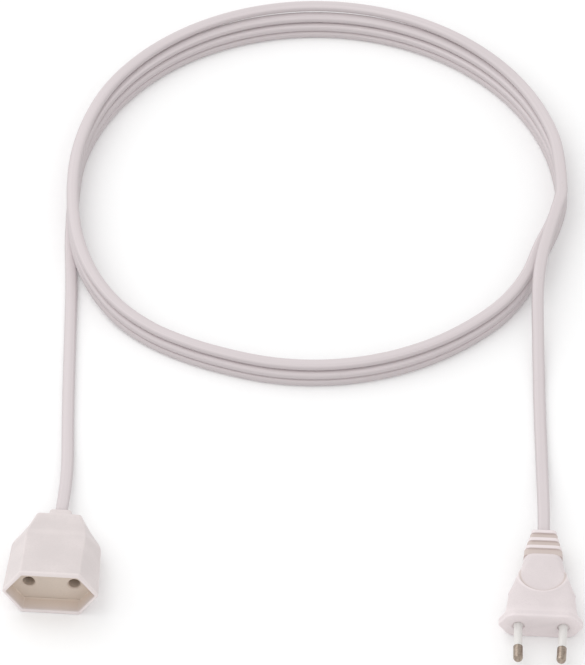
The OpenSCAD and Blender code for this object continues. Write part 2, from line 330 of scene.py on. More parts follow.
def oblong(width, height, steps):
    """Points round a flat shape with round ends, anticlockwise, steps in all."""
    outline = []
    for i in range(steps):
        angle = 2 * math.pi * (i + 0.5) / steps
        x = math.copysign((width - height) / 2, math.cos(angle)) + height / 2 * math.cos(angle)
        outline.append((x, height / 2 * math.sin(angle)))
    return outline


def squarish(width, height, steps):
    """Points round a rectangle with soft corners, anticlockwise, steps in all."""
    # 0 would be a rectangle and 1 an oval.
    roundness = 0.3
    outline = []
    for i in range(steps):
        angle = 2 * math.pi * (i + 0.5) / steps
        x = math.copysign(abs(math.cos(angle)) ** roundness, math.cos(angle))
        z = math.copysign(abs(math.sin(angle)) ** roundness, math.sin(angle))
        outline.append((width / 2 * x, height / 2 * z))
    return outline


def ring_at(space, y, outline, wear=0.0, tint=0.0):
    return Ring([space.at(x, y, z) for x, z in outline], wear, tint)


def edge_arc(radius, steps):
    """(how far in from the end, how far in from the side) round an outer edge, end first."""
    arc = []
    for k in range(steps + 1):
        angle = math.pi / 2 * k / steps
        arc.append((radius * (1 - math.cos(angle)), radius * (1 - math.sin(angle))))
    return arc


def turned_rings(space, profile, segments=40):
    """Rings of (y, radius, edge mark) points turned about a space's y axis."""
    rings = []
    for y, radius, wear in profile:
        outline = []
        for s in range(segments):
            angle = 2 * math.pi * s / segments
            outline.append((radius * math.cos(angle), radius * math.sin(angle)))
        rings.append(ring_at(space, y, outline, wear))
    return rings


def turned(name, space, profile):
    """A closed skin turned about a space's y axis."""
    return loft(name, turned_rings(space, profile))


# ---- Shader making --------------------------------------------------------------------------

class Signal:
    """A shader socket that takes part in Python sums by adding Math nodes."""

    def __init__(self, shader, socket):
        self.shader = shader
        self.socket = socket

    def __add__(self, other):
        return self.shader.math("ADD", self, other)

    def __sub__(self, other):
        return self.shader.math("SUBTRACT", self, other)

    def __rsub__(self, other):
        return self.shader.math("SUBTRACT", other, self)

    def __mul__(self, other):
        return self.shader.math("MULTIPLY", self, other)

    __radd__ = __add__
    __rmul__ = __mul__

    def between(self, low, high):
        """0 at low and 1 at high, with a smooth rise."""
        return self.shader.node("ShaderNodeMapRange", {"interpolation_type": "SMOOTHSTEP"},
                                {"Value": self, "From Min": low, "From Max": high})


class NodeTree:
    """The nodes of a material or of the world. Every one of them comes from node()."""

    def __init__(self, tree):
        self.tree = tree
        self.tree.nodes.clear()

    def node(self, kind, settings, inputs, output=0):
        made = self.tree.nodes.new(kind)
        for key, value in settings.items():
            setattr(made, key, value)
        for key, value in inputs.items():
            if isinstance(value, Signal):
                self.tree.links.new(value.socket, made.inputs[key])
            else:
                made.inputs[key].default_value = value
        return Signal(self, made.outputs[output]) if made.outputs else None


class Shader(NodeTree):
    """One node material."""

    def __init__(self, name):
        self.material = bpy.data.materials.new(name)
        self.material.use_nodes = True
        super().__init__(self.material.node_tree)

    def math(self, operation, a, b):
        return self.node("ShaderNodeMath", {"operation": operation}, {0: a, 1: b})

    def colour(self, a, b, share):
        """A colour between a and b."""
        a = a if isinstance(a, Signal) else (*a, 1.0)
        b = b if isinstance(b, Signal) else (*b, 1.0)
        return self.node("ShaderNodeMix", {"data_type": "RGBA"}, {0: share, 6: a, 7: b}, output=2)

    def places(self, source="Object", stretch=(1.0, 1.0, 1.0)):
        where = self.node("ShaderNodeTexCoord", {}, {}, output=source)
        return self.node("ShaderNodeMapping", {}, {"Vector": where, "Scale": stretch})

    def noise(self, places, scale, detail=2.0, roughness=0.5):
        return self.node("ShaderNodeTexNoise", {},
                         {"Vector": places, "Scale": scale, "Detail": detail, "Roughness": roughness})

    def attribute(self, name):
        return self.node("ShaderNodeAttribute", {"attribute_name": name}, {}, output="Fac")

    def finish(self, colour, roughness, height, depth, **constants):
        """Connects the surface; the bump's height is in shares of depth, in metres."""
        bump = self.node("ShaderNodeBump", {}, {"Height": height, "Distance": depth})
        inputs = {"Base Color": colour, "Roughness": roughness, "Normal": bump}
        for key, value in constants.items():
            inputs[key.replace("_", " ").title().replace("Ior", "IOR")] = value
        surface = self.node("ShaderNodeBsdfPrincipled", {}, inputs)
        self.node("ShaderNodeOutputMaterial", {}, {"Surface": surface})
        return self.material


def scaled(colour, gain):
    return tuple(min(channel * gain, 1.0) for channel in colour)


def moulded_plastic(name, colour, tint, roughness=0.42, grain=1800.0, gloss=0.5):
    """Moulded PVC: fine grain, cloudy colour, faint handling marks, paler edges that are partly polished and
    partly a painted highlight, and painted shade where the mesh marks it.
    """
    shader = Shader(name)
    places = shader.places()
    cloud = shader.noise(places, 70.0, 3.0)
    fine = shader.noise(places, grain, 2.0)
    flow = shader.noise(shader.places(stretch=(1.0, 0.25, 1.0)), 240.0, 2.0)
    specks = shader.noise(places, 1500.0, 0.0).between(0.76, 0.84)
    wear = shader.attribute("wear")
    inside = shader.attribute("tint")
    base = shader.colour(scaled(colour, 0.955), scaled(colour, 1.035), cloud.between(0.3, 0.7))
    base = shader.colour(base, scaled(colour, 0.93), flow.between(0.58, 0.8) * 0.5)
    base = shader.colour(base, scaled(colour, 0.93), fine.between(0.45, 0.7) * 0.6)
    # Painted shade: marked recesses, grooves and walls take the shade colour.
    base = shader.colour(base, tint, inside)
    # Marked edges are paled: partly rubbed paleness, partly a painted highlight on edges that catch the
    # light.
    base = shader.colour(base, scaled(colour, 1.16), wear * 0.75)
    base = shader.colour(base, scaled(colour, 0.8), specks * 0.2)
    rough = roughness + (cloud - 0.5) * 0.16 + (fine - 0.5) * 0.12 - wear * 0.1
    height = fine * 0.7 + flow * 0.3 + specks * 0.1
    return shader.finish(base, rough, height, 0.00003, specular_ior_level=gloss)


def sheath_plastic(name, colour):
    """Extruded sheath: streaks drawn along the cord, colour drift, a little dust and painted shade along its
    sides.
    """
    shader = Shader(name)
    along = shader.places("UV", (22.0, 4.0, 1.0))
    places = shader.places()
    streaks = shader.noise(along, 1.0, 3.0)
    drift = shader.noise(shader.places("UV", (2.0, 9.0, 1.0)), 1.0, 2.0)
    dust = shader.noise(places, 420.0, 4.0, 0.65)
    grain = shader.noise(places, 2600.0, 1.0)
    base = shader.colour(scaled(colour, 0.95), scaled(colour, 1.04), streaks.between(0.3, 0.7))
    base = shader.colour(base, scaled(colour, 0.92), drift.between(0.55, 0.8) * 0.6)
    base = shader.colour(base, scaled(colour, 0.8), dust.between(0.62, 0.78) * 0.3)
    # Painted shade darkens the cord's rounded sides.
    base = shader.colour(base, scaled(colour, 0.72), shader.attribute("tint") * 0.65)
    rough = 0.4 + (streaks - 0.5) * 0.16 + (dust - 0.5) * 0.2
    height = streaks * 0.7 + grain * 0.3
    return shader.finish(base, rough, height, 0.00004)


def turned_metal(name, colour, dark, metallic=1.0):
    """Turned and dull-plated metal: fine rings, patina in patches and darker rubbed edges."""
    shader = Shader(name)
    places = shader.places()
    rings = shader.noise(shader.places(stretch=(0.02, 1.0, 0.02)), 9000.0, 2.0)
    patina = shader.noise(places, 900.0, 4.0, 0.6)
    wear = shader.attribute("wear")
    base = shader.colour(colour, dark, patina.between(0.42, 0.72) * 0.75)
    # On metal the edge mark darkens the rubbed edges.
    base = shader.colour(base, scaled(dark, 0.55), wear * 0.7)
    base = shader.colour(base, scaled(colour, 1.12), rings.between(0.55, 0.75) * 0.35)
    rough = 0.27 + (patina - 0.5) * 0.22 + rings * 0.06
    height = rings * 0.6 + patina * 0.4
    return shader.finish(base, rough, height, 0.00001, metallic=metallic)


def stranded_copper(name):
    """Bunched copper: bright strands with painted shade in the gaps between them."""
    shader = Shader(name)
    places = shader.places(stretch=(1.0, 0.15, 1.0))
    strands = shader.noise(places, 5200.0, 1.0)
    tarnish = shader.noise(shader.places(), 700.0, 3.0)
    base = shader.colour((0.33, 0.13, 0.07), (0.86, 0.45, 0.28), strands.between(0.4, 0.6))
    base = shader.colour(base, (0.42, 0.22, 0.14), tarnish.between(0.5, 0.8) * 0.6)
    return shader.finish(base, 0.28 + tarnish * 0.2, strands, 0.00008, metallic=1.0)


def core_plastic(name, colour):
    """Core insulation: an even dyed skin with faint extrusion waves."""
    shader = Shader(name)
    waves = shader.noise(shader.places(stretch=(1.0, 0.3, 1.0)), 900.0, 2.0)
    cloud = shader.noise(shader.places(), 160.0, 2.0)
    base = shader.colour(scaled(colour, 0.85), scaled(colour, 1.2), cloud.between(0.3, 0.7))
    base = shader.colour(base, scaled(colour, 0.7), waves.between(0.6, 0.8) * 0.4)
    return shader.finish(base, 0.36 + waves * 0.12, waves, 0.00003)


def matt_floor(name, colour):
    """Matt pale floor with a trace of paper grain."""
    shader = Shader(name)
    fibre = shader.noise(shader.places(), 260.0, 3.0)
    base = shader.colour(scaled(colour, 0.995), colour, fibre)
    return shader.finish(base, 0.92 + fibre * 0.06, fibre, 0.00001, specular_ior_level=0.1)


def dress(piece, material):
    """Gives a made piece its material and its body."""
    piece.data.materials.clear()
    piece.data.materials.append(material)
    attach(piece, "root")
    return piece


def finish_nodes(material, names):
    """Gives kept CAD nodes a procedural material through their own slots."""
    for name in names:
        for material_slot in frame["nodes"][name].material_slots:
            material_slot.material = material


# ---- Shapes ---------------------------------------------------------------------------------

def layer_at(turn):
    return math.floor(turn) + smooth_step(*LAYER_CHANGE, turn % 1)


def coil_point(turn, cord):
    """A point on the coil: turns lie on each other, each leaning a little further back."""
    angle = COIL_START - 2 * math.pi * turn
    layer = layer_at(turn)
    lean = COIL_LEAN * layer_at(turn - LEAN_DELAY) ** 2
    radius = cord.coil_radius
    for heading, half, out in COIL_BENDS:
        off = math.remainder(math.degrees(angle) - heading, 360) / half
        radius += out * smooth_step(0, 1, 1 - abs(off))
    hang = COIL_HANG * max(0.0, -math.sin(angle - COIL_HEADING))
    sine = math.sin(COIL_HEADING)
    cosine = math.cos(COIL_HEADING)
    across = radius * math.cos(angle) - lean * sine - hang * cosine
    away = COIL_FLATTENED * radius * math.sin(angle) + lean * cosine - hang * sine
    return COIL_CENTRE + Vector((across, away, cord.thickness * (layer + 0.5)))


def even_steps(points, step):
    """A smooth line through the points, cut into equal steps of about the given length."""
    parts = 12
    ends = [2 * points[0] - points[1]] + points + [2 * points[-1] - points[-2]]
    line = []
    for i in range(1, len(ends) - 2):
        before, start, end, after = ends[i - 1:i + 3]
        for k in range(parts):
            t = k / parts
            line.append((2 * start + (end - before) * t
                         + (2 * before - 5 * start + 4 * end - after) * t ** 2
                         + (3 * start - before - 3 * end + after) * t ** 3) / 2)
    line.append(points[-1])
    reach = [0.0]
    for a, b in zip(line, line[1:]):
        reach.append(reach[-1] + (b - a).length)
    count = round(reach[-1] / step)
    cuts = []
    at = 0
    for k in range(count + 1):
        wanted = reach[-1] * k / count
        while at < len(line) - 2 and reach[at + 1] < wanted:
            at += 1
        share = (wanted - reach[at]) / (reach[at + 1] - reach[at])
        cuts.append(line[at].lerp(line[at + 1], share))
    return cuts, reach[-1]


def cord_path(cord):
    """The cord's middle line from the coupler's collar to the plug, and its length."""
    per_turn = 36
    points = [Vector(point) for point in SOCKET_ROUTE]
    for i in range(1, round(COIL_TURNS * per_turn)):
        points.append(coil_point(i / per_turn, cord))
    points += [Vector(point) for point in PLUG_ROUTE]
    return even_steps(points, cord.ring_step)


def cord_rings(path, cord):
    """The flat section, swept along the path on its wide side."""
    section = oblong(cord.width, cord.thickness, 20)
    # Painted shade along both rounded sides of the cord, strongest at the sides.
    sides = [smooth_step(0.7, 0.98, abs(2 * x / cord.width)) for x, z in section]
    rings = []
    for i, point in enumerate(path):
        heading = (path[min(i + 1, len(path) - 1)] - path[max(i - 1, 0)]).normalized()
        across = heading.cross(Vector((0, 0, 1))).normalized()
        above = across.cross(heading)
        rings.append(Ring([point + x * across + z * above for x, z in section], tint=sides))
    return rings


Section = namedtuple("Section", "width height flat")


def between_sections(a, b, share):
    return Section(*(blend(one, other, share) for one, other in zip(a, b)))


# Sections of the housing across its axis, in metres.
MOUTH = Section(40.4 * MM, 23 * MM, 24.6 * MM)
SHOULDER = Section(38 * MM, 16.21 * MM, 24.6 * MM)
REAR = Section(21 * MM, 13 * MM, 18 * MM)
RECESS = Section(37 * MM, 19.2 * MM, 23.1 * MM)
PLATE = Section(36 * MM, 17.6 * MM, 23.4 * MM)
CARRIER = Section(34 * MM, 13 * MM, 23 * MM)
PLATE_DEPTH = 2.5 * MM
CARRIER_BACK = 27 * MM
CORNER_STEPS = 6
# Clearance between the cord and the mouldings round it.
FIT_GAP = 0.06 * MM


class HexagonLoft:
    """Collects six-sided rings along the coupler's axis, y back from its mouth."""

    def __init__(self, space):
        self.space = space
        self.rings = []

    def add(self, y, section, inset=0.0, radius=0.0, wear=0.0, tint=0.0):
        corner_r = max(radius - inset, 0.12 * MM)
        outline = rounded_outline(hexagon(*section, inset), corner_r, CORNER_STEPS)
        worn_and_highlit = []
        # The corners' arcs are paled towards their middles: partly rubbed paleness, partly a painted
        # highlight along the rounded corners.
        for k in range(len(outline)):
            corner = math.sin(math.pi * (k % (CORNER_STEPS + 1)) / CORNER_STEPS)
            worn_and_highlit.append(max(wear, 0.35 * corner if radius > 0 else 0.0))
        self.rings.append(Ring([self.space.at(x, y, z) for x, z in outline], worn_and_highlit, tint))


def housing_outside(loft_rings, coupler, corner_r):
    """From the rim round the mouth, over the shoulders, to the rear end."""
    # The mouth's rounded edge, the shoulder bend and the rear edge are paled: partly rubbed paleness, partly
    # a painted highlight.
    for from_end, from_side in edge_arc(coupler.edge, 5):
        loft_rings.add(from_end, MOUTH, from_side, corner_r, wear=0.9)
    for y in (1.6 * MM, 8 * MM, 16 * MM, 23 * MM):
        section = between_sections(MOUTH, SHOULDER, y / coupler.shoulder)
        loft_rings.add(y, section, 0.0, corner_r)
    bend = 2.2 * MM
    rear_run = coupler.length - coupler.shoulder
    before = between_sections(MOUTH, SHOULDER, 1 - bend / coupler.shoulder)
    after = between_sections(SHOULDER, REAR, bend / rear_run)
    steps = 8
    for k in range(steps + 1):
        t = k / steps
        section = between_sections(between_sections(before, SHOULDER, t),
                                   between_sections(SHOULDER, after, t), t)
        y = coupler.shoulder - bend + 2 * bend * t
        loft_rings.add(y, section, 0.0, corner_r, wear=0.3 * math.sin(math.pi * t))
    for share in (0.35, 0.6, 0.82):
        section = between_sections(SHOULDER, REAR, share)
        loft_rings.add(coupler.shoulder + rear_run * share, section, 0.0, corner_r)
    rear_r = 1.4 * MM
    for from_end, from_side in reversed(edge_arc(rear_r, 5)):
        section = between_sections(SHOULDER, REAR, 1 - from_end / rear_run)
        loft_rings.add(coupler.length - from_end, section, from_side, corner_r, wear=0.35)


def housing_inside(loft_rings, coupler):
    """From the insert's pocket, over the recess's floor and walls, to the inner edge of the rim."""
    gap = -0.08 * MM
    floor = coupler.recess
    draft = 0.25 * MM
    # Painted shade in the recess: darkest in the pocket and at the floor, fading up the walls towards the
    # rim.
    loft_rings.add(CARRIER_BACK - gap, CARRIER, gap, tint=1.0)
    loft_rings.add(floor + PLATE_DEPTH, CARRIER, gap, tint=1.0)
    loft_rings.add(floor + PLATE_DEPTH, PLATE, gap, tint=1.0)
    loft_rings.add(floor, PLATE, gap, tint=1.0)
    fillet = 0.3 * MM
    for k in range(4):
        angle = math.pi / 2 * k / 3
        inset = draft + fillet * (1 - math.sin(angle))
        loft_rings.add(floor - fillet * (1 - math.cos(angle)), RECESS, inset, 0.9 * MM, tint=0.95)
    loft_rings.add(floor * 0.5, RECESS, draft / 2, 0.9 * MM, tint=0.7)
    loft_rings.add(1.2 * MM, RECESS, 0.03 * MM, 0.9 * MM, tint=0.4)
    # The rim's inner edge is paled: partly rubbed paleness, partly a painted highlight.
    lip = 0.4 * MM
    for k in range(5):
        angle = math.pi / 2 * k / 4
        loft_rings.add(lip * (1 - math.sin(angle)), RECESS, -lip * (1 - math.cos(angle)), 0.9 * MM, wear=0.8)


def make_housing(coupler):
    rings = HexagonLoft(coupler_space())
    housing_inside(rings, coupler)
    housing_outside(rings, coupler, 1.5 * MM)
    piece = loft("coupler_housing", rings.rings)
    even_shading(piece, 50)
    return piece


def make_insert(coupler):
    """The hard insert at the bottom of the recess, with its two chamfered pin holes."""
    space = coupler_space()
    floor = coupler.recess
    rings = HexagonLoft(space)
    # The plate's rounded edge is paled: partly rubbed paleness, partly a painted highlight.
    for from_end, from_side in edge_arc(0.25 * MM, 3):
        rings.add(floor + from_end, PLATE, from_side, 0.4 * MM, wear=0.3)
    rings.add(floor + PLATE_DEPTH, PLATE, 0.0, 0.4 * MM)
    rings.add(floor + PLATE_DEPTH, CARRIER, 0.0, 0.4 * MM)
    rings.add(CARRIER_BACK, CARRIER, 0.0, 0.4 * MM)
    piece = loft("coupler_insert", rings.rings)
    hole_r = 2.5 * MM
    chamfer = 0.5 * MM
    cutters = []
    for side in (-1, 1):
        axis = Space(space.at(side * coupler.hole_spacing / 2, 0, 0), space.back)
        # The third column pales the chamfer round each hole: a painted highlight ring, partly rubbed
        # paleness.
        profile = [
            (floor - 1 * MM, hole_r + chamfer + 1 * MM, 1),
            (floor + chamfer, hole_r, 1),
            (floor + chamfer + 0.1 * MM, hole_r, 0),
            (floor + 5 * MM, hole_r, 0),
            (floor + 5 * MM, hole_r + 0.5 * MM, 0),
            (CARRIER_BACK + 1 * MM, hole_r + 0.5 * MM, 0),
        ]
        cutters.append(turned("hole_cutter", axis, profile))
    cut(piece, cutters)
    even_shading(piece, 30)
    return piece


def make_collar(coupler, cord):
    """The coupler's short strain-relief collar, open for the cord."""
    space = coupler_space()
    steps = 32
    hole = oblong(cord.width + FIT_GAP, cord.thickness + FIT_GAP, steps)
    rear = coupler.length
    # Distance behind the housing, width, height and edge paleness of each section; the paleness is partly
    # rubbed, partly a painted highlight.
    sections = [
        (-1 * MM, 8 * MM, 5.4 * MM, 0.0),
        (-0.4 * MM, 8 * MM, 5.4 * MM, 0.0),
        (-0.4 * MM, 10.9 * MM, 7 * MM, 0.0),
        (2.4 * MM, 10.7 * MM, 7 * MM, 0.1),
        (2.8 * MM, 10.2 * MM, 6.8 * MM, 0.5),
        (3.1 * MM, 9.6 * MM, 6.5 * MM, 0.1),
        (4.9 * MM, 9.3 * MM, 6.3 * MM, 0.2),
        (5.35 * MM, 8.9 * MM, 6 * MM, 0.6),
        (5.5 * MM, 8.3 * MM, 5.5 * MM, 0.6),
        (5.5 * MM, 6.2 * MM, 4.1 * MM, 0.0),
    ]
    rings = [ring_at(space, rear - 1 * MM, hole)]
    for behind, width, height, wear in sections:
        rings.append(ring_at(space, rear + behind, squarish(width, height, steps), wear))
    rings.append(ring_at(space, rear + 5.2 * MM, hole))
    piece = tube("coupler_collar", rings)
    even_shading(piece, 50)
    return piece


def body_radius(x, z, y, length):
    """1 on the skin of the plug's moulded body at distance y, less inside and more outside.

    Widths and heights are in millimetres, and a higher power makes a squarer section.
    """
    waist = 14 * MM
    if y < waist:
        share = smooth_step(3 * MM, 17 * MM, y)
        width = blend(29.4, 27.2, share)
        height = blend(12.4, 12.0, share)
        power = blend(6.5, 5.5, share)
    else:
        share = (y - waist) / (length - waist)
        hollow = 0.9 * math.sin(math.pi * share)
        flare = 0.5 * (1 - share) ** 4
        width = blend(28.0, 17.0, share) - hollow + flare - 0.5
        height = blend(12.0, 9.6, share)
        power = blend(5.5, 3.2, share)
    return (abs(2 * x / (width * MM)) ** power + abs(2 * z / (height * MM)) ** power) ** (1 / power)


def flange_radius(x, z, plug):
    """1 on the six-sided outline of the plug's flange, less inside and more outside."""
    power = 30
    blunting = 1.4 * MM
    level = abs(2 * z / plug.face_height)
    tip = abs(2 * x / plug.face_width)
    slant = 2 * (abs(x) + abs(z)) / (plug.face_width + blunting)
    return (level ** power + tip ** power + slant ** power) ** (1 / power)


def grip_depth(x, y, plug):
    """Distance inside the edge of the thumb grip, which is round in front and open behind."""
    grip_at = 24.4 * MM
    if y > grip_at:
        return plug.grip_radius - abs(x)
    return plug.grip_radius - math.hypot(x, y - grip_at)


def plug_directions(count):
    """Directions round the body, spaced evenly along its wide outline."""
    width = 32.0
    height = 13.0
    directions = []
    for i in range(count):
        walk = 2 * (width + height) * (i + 0.5) / count
        if walk < height:
            spot = (width / 2, walk - height / 2)
        elif walk < height + width:
            spot = (width / 2 - (walk - height), height / 2)
        elif walk < 2 * height + width:
            spot = (-width / 2, height / 2 - (walk - height - width))
        else:
            spot = (walk - 2 * height - width - width / 2, -height / 2)
        directions.append(Vector(spot).normalized())
    return directions


def plug_ring(space, directions, y, inset, scale, plug, wear=0.0):
    """One ring of the plug's body: the flange where it stands out, the body elsewhere."""
    points = []
    worn_and_highlit = []
    bead = 0.32 * MM
    bead_w = 0.5 * MM
    floor_z = 4.9 * MM
    pinch = 0.55 * MM
    wall_at = 1 * MM
    wall_w = 0.45 * MM
    painted_wall_shade = []
    for way in directions:
        body = 1 / body_radius(way.x, way.y, y, plug.length)
        reach = body
        if scale > 0:
            flange = scale / flange_radius(way.x, way.y, plug)
            soft = 18
            reach = (body ** soft + flange ** soft) ** (1 / soft)
        reach -= inset
        x = way.x * reach
        z = way.y * reach
        depth = grip_depth(x, y, plug)
        sunk = smooth_step(0.2 * MM, 1.2 * MM, depth)
        over = max(abs(z) - floor_z, 0.0)
        top = smooth_step(0.55, 0.85, abs(z) / (6 * MM))
        raised = bead * math.exp(-(depth / bead_w) ** 2) * (1 - smooth_step(27 * MM, 31 * MM, y))
        z = math.copysign(abs(z) - over * sunk * top + raised * top, z)
        x -= math.copysign(pinch * sunk * (1 - top) - 0.5 * raised * (1 - top), x)
        points.append(space.at(x, y, z))
        # The bead along the grip's arc is paled as a painted highlight.
        worn_and_highlit.append(max(wear, 0.9 * raised / bead))
        # Painted shade on the grip's sunk wall, darkening the notches at the arc's ends too.
        wall = math.exp(-((depth - wall_at) / wall_w) ** 2)
        painted_wall_shade.append(wall * (1 - smooth_step(25 * MM, 27 * MM, y)))
    return Ring(points, worn_and_highlit, painted_wall_shade)


def make_plug_body(plug):
    space = plug_space()
    directions = plug_directions(236)
    rings = []
    edge = 0.7 * MM
    # Paler rings at the face's rounded edge, on the flange's slope and at the rear edge: partly rubbed
    # paleness, partly a painted highlight.
    for from_end, from_side in edge_arc(edge, 5):
        rings.append(plug_ring(space, directions, from_end, from_side, 1.0, plug, 0.7))
    for y in (1.4 * MM, 2.6 * MM):
        rings.append(plug_ring(space, directions, y, 0.0, 1.0, plug, 0.2))
    slope_from = 2.8 * MM
    slope_to = 6.6 * MM
    steps = 10
    for k in range(1, steps + 1):
        share = k / steps
        y = blend(slope_from, slope_to, share)
        scale = 1 - 0.2 * share ** 1.3
        rings.append(plug_ring(space, directions, y, 0.0, scale, plug, 0.5 * (1 - share)))
    y = 7.2 * MM
    end_r = 1.3 * MM
    fine_step = 0.36 * MM
    coarse_step = 1.2 * MM
    while y < plug.length - end_r:
        rings.append(plug_ring(space, directions, y, 0.0, 0.0, plug))
        y += fine_step if 12 * MM < y < 28 * MM else coarse_step
    for from_end, from_side in reversed(edge_arc(end_r, 4)):
        rings.append(plug_ring(space, directions, plug.length - from_end, from_side, 0.0, plug, 0.3))
    piece = loft("plug_moulding", rings)
    cutters = []
    for side in (-1, 1):
        profile = [(-1 * MM, 2.75 * MM, 0), (0.45 * MM, 2.6 * MM, 0)]
        cutters.append(turned("pad_cutter", pin_space(side), profile))
    cut(piece, cutters)
    even_shading(piece, 40)
    return piece


def make_plug_ribs(cord, plug):
    """The plug's strain relief: three ribs that narrow towards the cord, with painted shade in the grooves
    and painted highlight on the ridges.
    """
    space = plug_space()
    at = plug.length
    steps = 40
    hole = oblong(cord.width + FIT_GAP, cord.thickness + FIT_GAP, steps)
    root = (12 * MM, 6.6 * MM)
    pitch = 4.2 * MM
    groove_l = 2.5 * MM
    round_r = 0.3 * MM
    first_w = 16.8 * MM
    narrower = 2.2 * MM
    first_h = 9.4 * MM
    lower = 0.35 * MM
    # Distance from the face, width, height, edge paleness (rubbed paleness and painted highlight) and
    # painted shade of each section.
    sections = [(at - 6 * MM, *root, 0.0, 0.0), (at - 0.8 * MM, *root, 0.0, 0.0)]
    for i in range(3):
        groove_w = first_w - narrower * i
        ridge_w = first_w - narrower * (i + 0.75)
        high = first_h - lower * i
        low = high - 1.6 * MM
        start = at + i * pitch - (0.8 * MM if i == 0 else 0)
        turn = at + i * pitch + groove_l
        end = at + (i + 1) * pitch
        sections += [
            # Grooves get painted shade; the ridges' rounded edges and tops are paled as a painted highlight,
            # partly rubbed paleness.
            (start + 0.05 * MM, groove_w - 0.6 * MM, low, 0.0, 1.0),
            (turn - 0.1 * MM, groove_w - 0.9 * MM, low, 0.0, 1.0),
            (turn, ridge_w - 2 * round_r, high - 2 * round_r, 0.0, 0.55),
            (turn + 0.12 * MM, ridge_w - round_r / 2, high - round_r / 2, 0.6, 0.0),
            (turn + round_r + 0.1 * MM, ridge_w, high, 0.9, 0.0),
            (end - round_r, ridge_w - 0.05 * MM, high - 0.05 * MM, 0.9, 0.0),
            (end - 0.05 * MM, ridge_w - round_r, high - round_r, 0.6, 0.0),
        ]
    end = at + 3 * pitch
    sections += [(end, 9.4 * MM, 7.6 * MM, 0.2, 0.0), (end, 6.4 * MM, 4.2 * MM, 0.0, 0.4)]
    rings = [ring_at(space, at - 6 * MM, hole)]
    for y, width, height, wear, tint in sections:
        rings.append(ring_at(space, y, squarish(width, height, steps), wear, tint))
    rings.append(ring_at(space, end - 0.3 * MM, hole, 0.0, 1.0))
    piece = tube("plug_ribs", rings)
    even_shading(piece, 45)
    return piece


def make_pin(side, plug):
    """A turned pin with a round tip, a neck under its sleeve and an anchoring collar."""
    tip_r = 2 * MM
    neck_r = 1.4 * MM
    root_r = 1.8 * MM
    sleeve_end = -11 * MM
    profile = []
    steps = 9
    for k in range(steps):
        angle = math.pi / 2 * (k + 0.35) / steps
        y = -plug.pin_length + tip_r * (1 - math.cos(angle))
        profile.append((y, tip_r * math.sin(angle), 0.0))
    profile += [
        (-plug.pin_length + tip_r, tip_r, 0.15),
        (sleeve_end - 0.6 * MM, tip_r, 0.2),
        (sleeve_end - 0.15 * MM, tip_r, 1.0),
        (sleeve_end, tip_r - 0.12 * MM, 1.0),
        (sleeve_end, neck_r, 1.0),
        (1.5 * MM, neck_r, 0.0),
        (1.5 * MM, root_r, 0.0),
        (4.5 * MM, root_r, 0.0),
        (4.5 * MM, 2.7 * MM, 0.0),
        (6 * MM, 2.7 * MM, 0.0),
        (6 * MM, root_r, 0.0),
        (17 * MM, root_r, 0.0),
    ]
    piece = turned("plug_pin_" + SIDES[side], pin_space(side), profile)
    even_shading(piece, 35)
    return piece


def make_pin_sleeve(side):
    """The insulating sleeve: slightly tapered, with a rounded front lip and a small foot."""
    outer_r = 1.8 * MM
    inner_r = 1.42 * MM
    front = -11 * MM
    # The third column pales the sleeve's front lip and its foot: partly rubbed paleness, partly a painted
    # highlight.
    profile = [
        (1.5 * MM, inner_r, 0.0),
        (1.5 * MM, outer_r, 0.0),
        (0.4 * MM, outer_r + 0.25 * MM, 0.0),
        (-0.3 * MM, outer_r + 0.22 * MM, 0.1),
        (-0.9 * MM, outer_r, 0.1),
        (front * 0.5, outer_r - 0.02 * MM, 0.0),
        (front + 0.5 * MM, outer_r - 0.04 * MM, 0.1),
        (front + 0.12 * MM, outer_r - 0.1 * MM, 0.6),
        (front, outer_r - 0.22 * MM, 0.6),
        (front, inner_r, 0.2),
    ]
    piece = tube("plug_pin_sleeve_" + SIDES[side], turned_rings(pin_space(side), profile))
    even_shading(piece, 50)
    return piece


# ---- Operators ------------------------------------------------------------------------------

class EXTCORD_OT_stage(bpy.types.Operator):
    """Sets the floor, the light and the camera"""
    bl_idname = "extcord.stage"
    bl_label = "Stage"

    def execute(self, context):
        finish = context.scene.extcord_finish
        half = 4.0
        mesh = bpy.data.meshes.new("floor")
        mesh.from_pydata([(-half, -half, 0), (half, -half, 0), (half, half, 0), (-half, half, 0)], [],
                         [(0, 1, 2, 3)])
        floor = bpy.data.objects.new("floor", mesh)
        context.scene.collection.objects.link(floor)
        mesh.materials.append(matt_floor("floor_matt", finish.floor))
        make_world()
        target = Vector((0.0891, 0.1363, 0))
        add_light("key_light", Vector((-1.1, 0.7, 1.5)), target, 2.4, 12.5)
        add_light("front_fill", Vector((0.3, -1.6, 1.3)), target, 1.6, 2.0)
        add_camera(target)
        context.scene.view_settings.view_transform = "Standard"
        return {"FINISHED"}


def make_world():
    """Even white surroundings, a little brighter to look at than the light they give."""
    world = bpy.data.worlds.new("studio")
    bpy.context.scene.world = world
    world.use_nodes = True
    nodes = NodeTree(world.node_tree)
    white = (1.0, 1.0, 1.0, 1.0)
    sky = nodes.node("ShaderNodeBackground", {}, {"Color": white, "Strength": 0.87})
    backdrop = nodes.node("ShaderNodeBackground", {}, {"Color": white})
    looked_at = nodes.node("ShaderNodeLightPath", {}, {}, output="Is Camera Ray")
    shown = nodes.node("ShaderNodeMixShader", {}, {0: looked_at, 1: sky, 2: backdrop})
    nodes.node("ShaderNodeOutputWorld", {}, {"Surface": shown})


def add_light(name, at, target, width, power):
    light = bpy.data.lights.new(name, "AREA")
    light.shape = "DISK"
    light.size = width
    light.energy = power
    lamp = bpy.data.objects.new(name, light)
    lamp.location = at
    lamp.rotation_euler = (target - at).to_track_quat("-Z", "Y").to_euler()
    bpy.context.scene.collection.objects.link(lamp)


